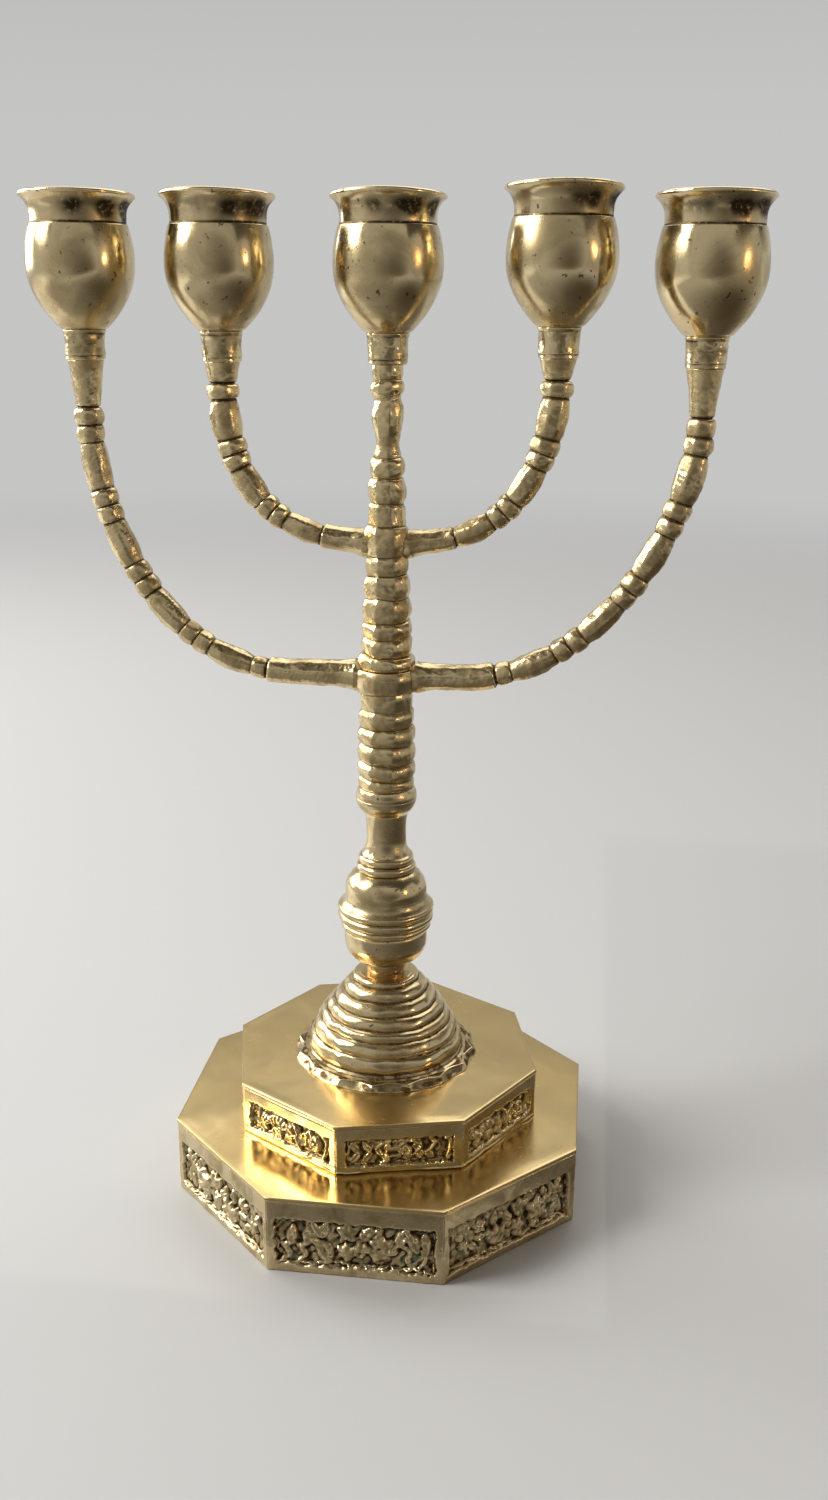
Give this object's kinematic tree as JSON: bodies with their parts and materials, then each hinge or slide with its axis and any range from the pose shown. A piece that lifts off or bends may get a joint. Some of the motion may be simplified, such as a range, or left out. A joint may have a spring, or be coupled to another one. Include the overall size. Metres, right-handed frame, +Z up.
{
  "type": "five-cup menorah",
  "caption": "Brass menorah with beaded branching arms, screw-on candle cups, a turned knop and a stepped octagonal base with cast floral panels.",
  "frame": {"origin": "centre of the base on the stem's axis, in the plane the base stands on", "axes": "+Z up along the stem; +X towards the right-hand outer cup; -Y is the front"},
  "size_m": [0.1981, 0.1208, 0.2889],
  "materials": {
    "plate_brass": "satin rolled sheet with fine wiping scratches and dull tarnish",
    "relief_brass": "rough sand casting, bright on its rails, dark patina and a little green in the sunk field",
    "panel_brass": "cast and rubbed bright, dark in the grooves",
    "dome_brass": "polished ribs with dark grooves",
    "turned_brass": "turned and polished, with brown tarnish spots",
    "branch_brass": "sand cast, rubbed bright on its beads, brown in its grooves",
    "cup_brass": "spun and polished, tarnished at the neck, with small dark pits",
    "thread_brass": "dull machined brass",
    "steel": "dull zinc-plated steel"
  },
  "bodies": {
    "base": {"lower_plinth_top": "plate_brass", "lower_panel_1": "relief_brass", "lower_panel_2": "relief_brass", "lower_panel_3": "relief_brass", "lower_panel_4": "relief_brass", "lower_panel_5": "relief_brass", "lower_panel_6": "relief_brass", "lower_panel_7": "relief_brass", "lower_panel_8": "relief_brass", "dome": "dome_brass", "spacer_collar": "turned_brass", "knop_cup": "turned_brass", "knop_bell": "turned_brass", "stem_bead": "turned_brass", "tie_rod": "steel", "rod_washer": "steel", "rod_nut": "steel"},
    "upper_tier": {"upper_plinth_top": "plate_brass", "upper_panel_1": "panel_brass", "upper_panel_2": "panel_brass", "upper_panel_3": "panel_brass", "upper_panel_4": "panel_brass", "upper_panel_5": "panel_brass", "upper_panel_6": "panel_brass", "upper_panel_7": "panel_brass", "upper_panel_8": "panel_brass"},
    "lower_arms": {"lower_branch": "branch_brass"},
    "upper_arms": {"upper_branch": "branch_brass"},
    "stud_outer_left": {"cup_stud_outer_left": "thread_brass"},
    "cup_outer_left": {"cup_collar_outer_left": "cup_brass", "cup_bowl_outer_left": "cup_brass"},
    "stud_inner_left": {"cup_stud_inner_left": "thread_brass"},
    "cup_inner_left": {"cup_collar_inner_left": "cup_brass", "cup_bowl_inner_left": "cup_brass"},
    "stud_centre": {"cup_stud_centre": "thread_brass"},
    "cup_centre": {"cup_collar_centre": "cup_brass", "cup_bowl_centre": "cup_brass"},
    "stud_inner_right": {"cup_stud_inner_right": "thread_brass"},
    "cup_inner_right": {"cup_collar_inner_right": "cup_brass", "cup_bowl_inner_right": "cup_brass"},
    "stud_outer_right": {"cup_stud_outer_right": "thread_brass"},
    "cup_outer_right": {"cup_collar_outer_right": "cup_brass", "cup_bowl_outer_right": "cup_brass"}
  },
  "joints": [
    {"name": "upper_tier_turn", "type": "hinge", "parent": "base", "child": "upper_tier", "pos_m": [0, 0, 0.0315], "axis": [0, 0, 1], "continuous": true},
    {"name": "lower_arms_turn", "type": "hinge", "parent": "base", "child": "lower_arms", "pos_m": [0, 0, 0.1428], "axis": [0, 0, 1], "continuous": true},
    {"name": "upper_arms_turn", "type": "hinge", "parent": "lower_arms", "child": "upper_arms", "pos_m": [0, 0, 0.172], "axis": [0, 0, 1], "continuous": true},
    {"name": "outer_left_cup_turn", "type": "hinge", "parent": "lower_arms", "child": "stud_outer_left", "pos_m": [-0.0837, 0, 0.2442], "axis": [0, 0, 1], "range_deg": [0, 2340]},
    {"name": "outer_left_cup_rise", "type": "slide", "parent": "stud_outer_left", "child": "cup_outer_left", "axis": [0, 0, 1], "range_m": [0, 0.0065]},
    {"name": "inner_left_cup_turn", "type": "hinge", "parent": "upper_arms", "child": "stud_inner_left", "pos_m": [-0.0454, 0, 0.2442], "axis": [0, 0, 1], "range_deg": [0, 2340]},
    {"name": "inner_left_cup_rise", "type": "slide", "parent": "stud_inner_left", "child": "cup_inner_left", "axis": [0, 0, 1], "range_m": [0, 0.0065]},
    {"name": "centre_cup_turn", "type": "hinge", "parent": "upper_arms", "child": "stud_centre", "pos_m": [0, 0, 0.2442], "axis": [0, 0, 1], "range_deg": [0, 2340]},
    {"name": "centre_cup_rise", "type": "slide", "parent": "stud_centre", "child": "cup_centre", "axis": [0, 0, 1], "range_m": [0, 0.0065]},
    {"name": "inner_right_cup_turn", "type": "hinge", "parent": "upper_arms", "child": "stud_inner_right", "pos_m": [0.0454, 0, 0.2462], "axis": [0, 0, 1], "range_deg": [0, 2340]},
    {"name": "inner_right_cup_rise", "type": "slide", "parent": "stud_inner_right", "child": "cup_inner_right", "axis": [0, 0, 1], "range_m": [0, 0.0065]},
    {"name": "outer_right_cup_turn", "type": "hinge", "parent": "lower_arms", "child": "stud_outer_right", "pos_m": [0.0837, 0, 0.2442], "axis": [0, 0, 1], "range_deg": [0, 2340]},
    {"name": "outer_right_cup_rise", "type": "slide", "parent": "stud_outer_right", "child": "cup_outer_right", "axis": [0, 0, 1], "range_m": [0, 0.0065]}
  ],
  "couplings": [
    {"joint": "outer_left_cup_rise", "follows": "outer_left_cup_turn", "m_per_rad": 0.00015915},
    {"joint": "inner_left_cup_rise", "follows": "inner_left_cup_turn", "m_per_rad": 0.00015915},
    {"joint": "centre_cup_rise", "follows": "centre_cup_turn", "m_per_rad": 0.00015915},
    {"joint": "inner_right_cup_rise", "follows": "inner_right_cup_turn", "m_per_rad": 0.00015915},
    {"joint": "outer_right_cup_rise", "follows": "outer_right_cup_turn", "m_per_rad": 0.00015915}
  ]
}
